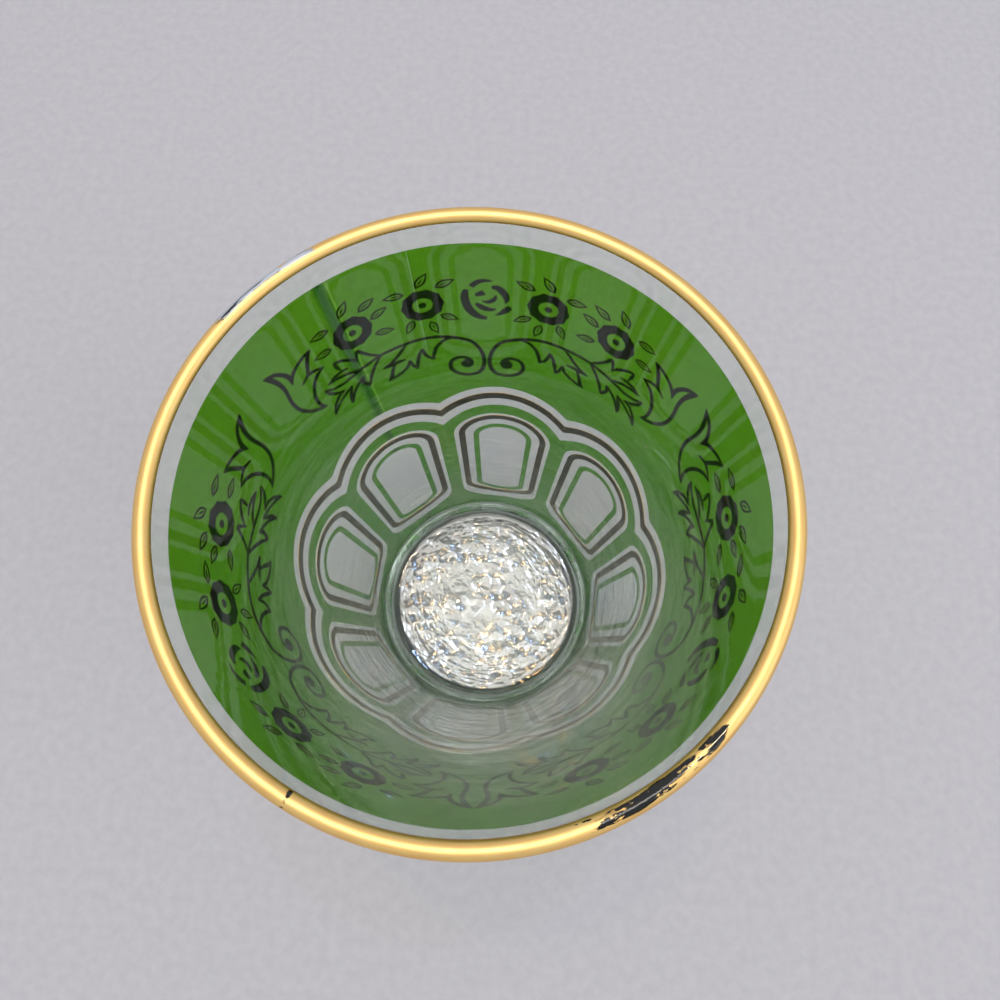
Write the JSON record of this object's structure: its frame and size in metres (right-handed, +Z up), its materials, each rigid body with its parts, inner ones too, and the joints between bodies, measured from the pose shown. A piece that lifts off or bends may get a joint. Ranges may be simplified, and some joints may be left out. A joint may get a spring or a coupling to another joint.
{
  "type": "moroccan tea glass",
  "caption": "Tapered clear tea glass with a gilded lip, a green coat cut by scalloped arches and clear panes, and gold flower garlands printed round it.",
  "frame": {"origin": "centre of the ring that the glass stands on, at the height of the table", "axes": "+Z up along the glass's axis, +Y through the middle of the first garland"},
  "size_m": [0.0724, 0.0724, 0.0881],
  "materials": {
    "clear_glass": "clear polished glass with a soft warm tint",
    "lip_gold": "bright fired gilding, worn in places",
    "green_coat": "transparent green coat fired on the outside",
    "print_gold": "thin printed gold, satin"
  },
  "bodies": {
    "root": {"glass_body": "clear_glass", "lip_gilding": "lip_gold", "green_field": "green_coat", "green_arcade": "green_coat", "scallop_gold_line": "print_gold", "garland_1": "print_gold", "garland_2": "print_gold", "garland_3": "print_gold", "pane_gold_line_1": "print_gold", "pane_gold_line_2": "print_gold", "pane_gold_line_3": "print_gold", "pane_gold_line_4": "print_gold", "pane_gold_line_5": "print_gold", "pane_gold_line_6": "print_gold", "pane_gold_line_7": "print_gold", "pane_gold_line_8": "print_gold", "pane_green_line_1": "green_coat", "pane_green_line_2": "green_coat", "pane_green_line_3": "green_coat", "pane_green_line_4": "green_coat", "pane_green_line_5": "green_coat", "pane_green_line_6": "green_coat", "pane_green_line_7": "green_coat", "pane_green_line_8": "green_coat"}
  },
  "joints": []
}
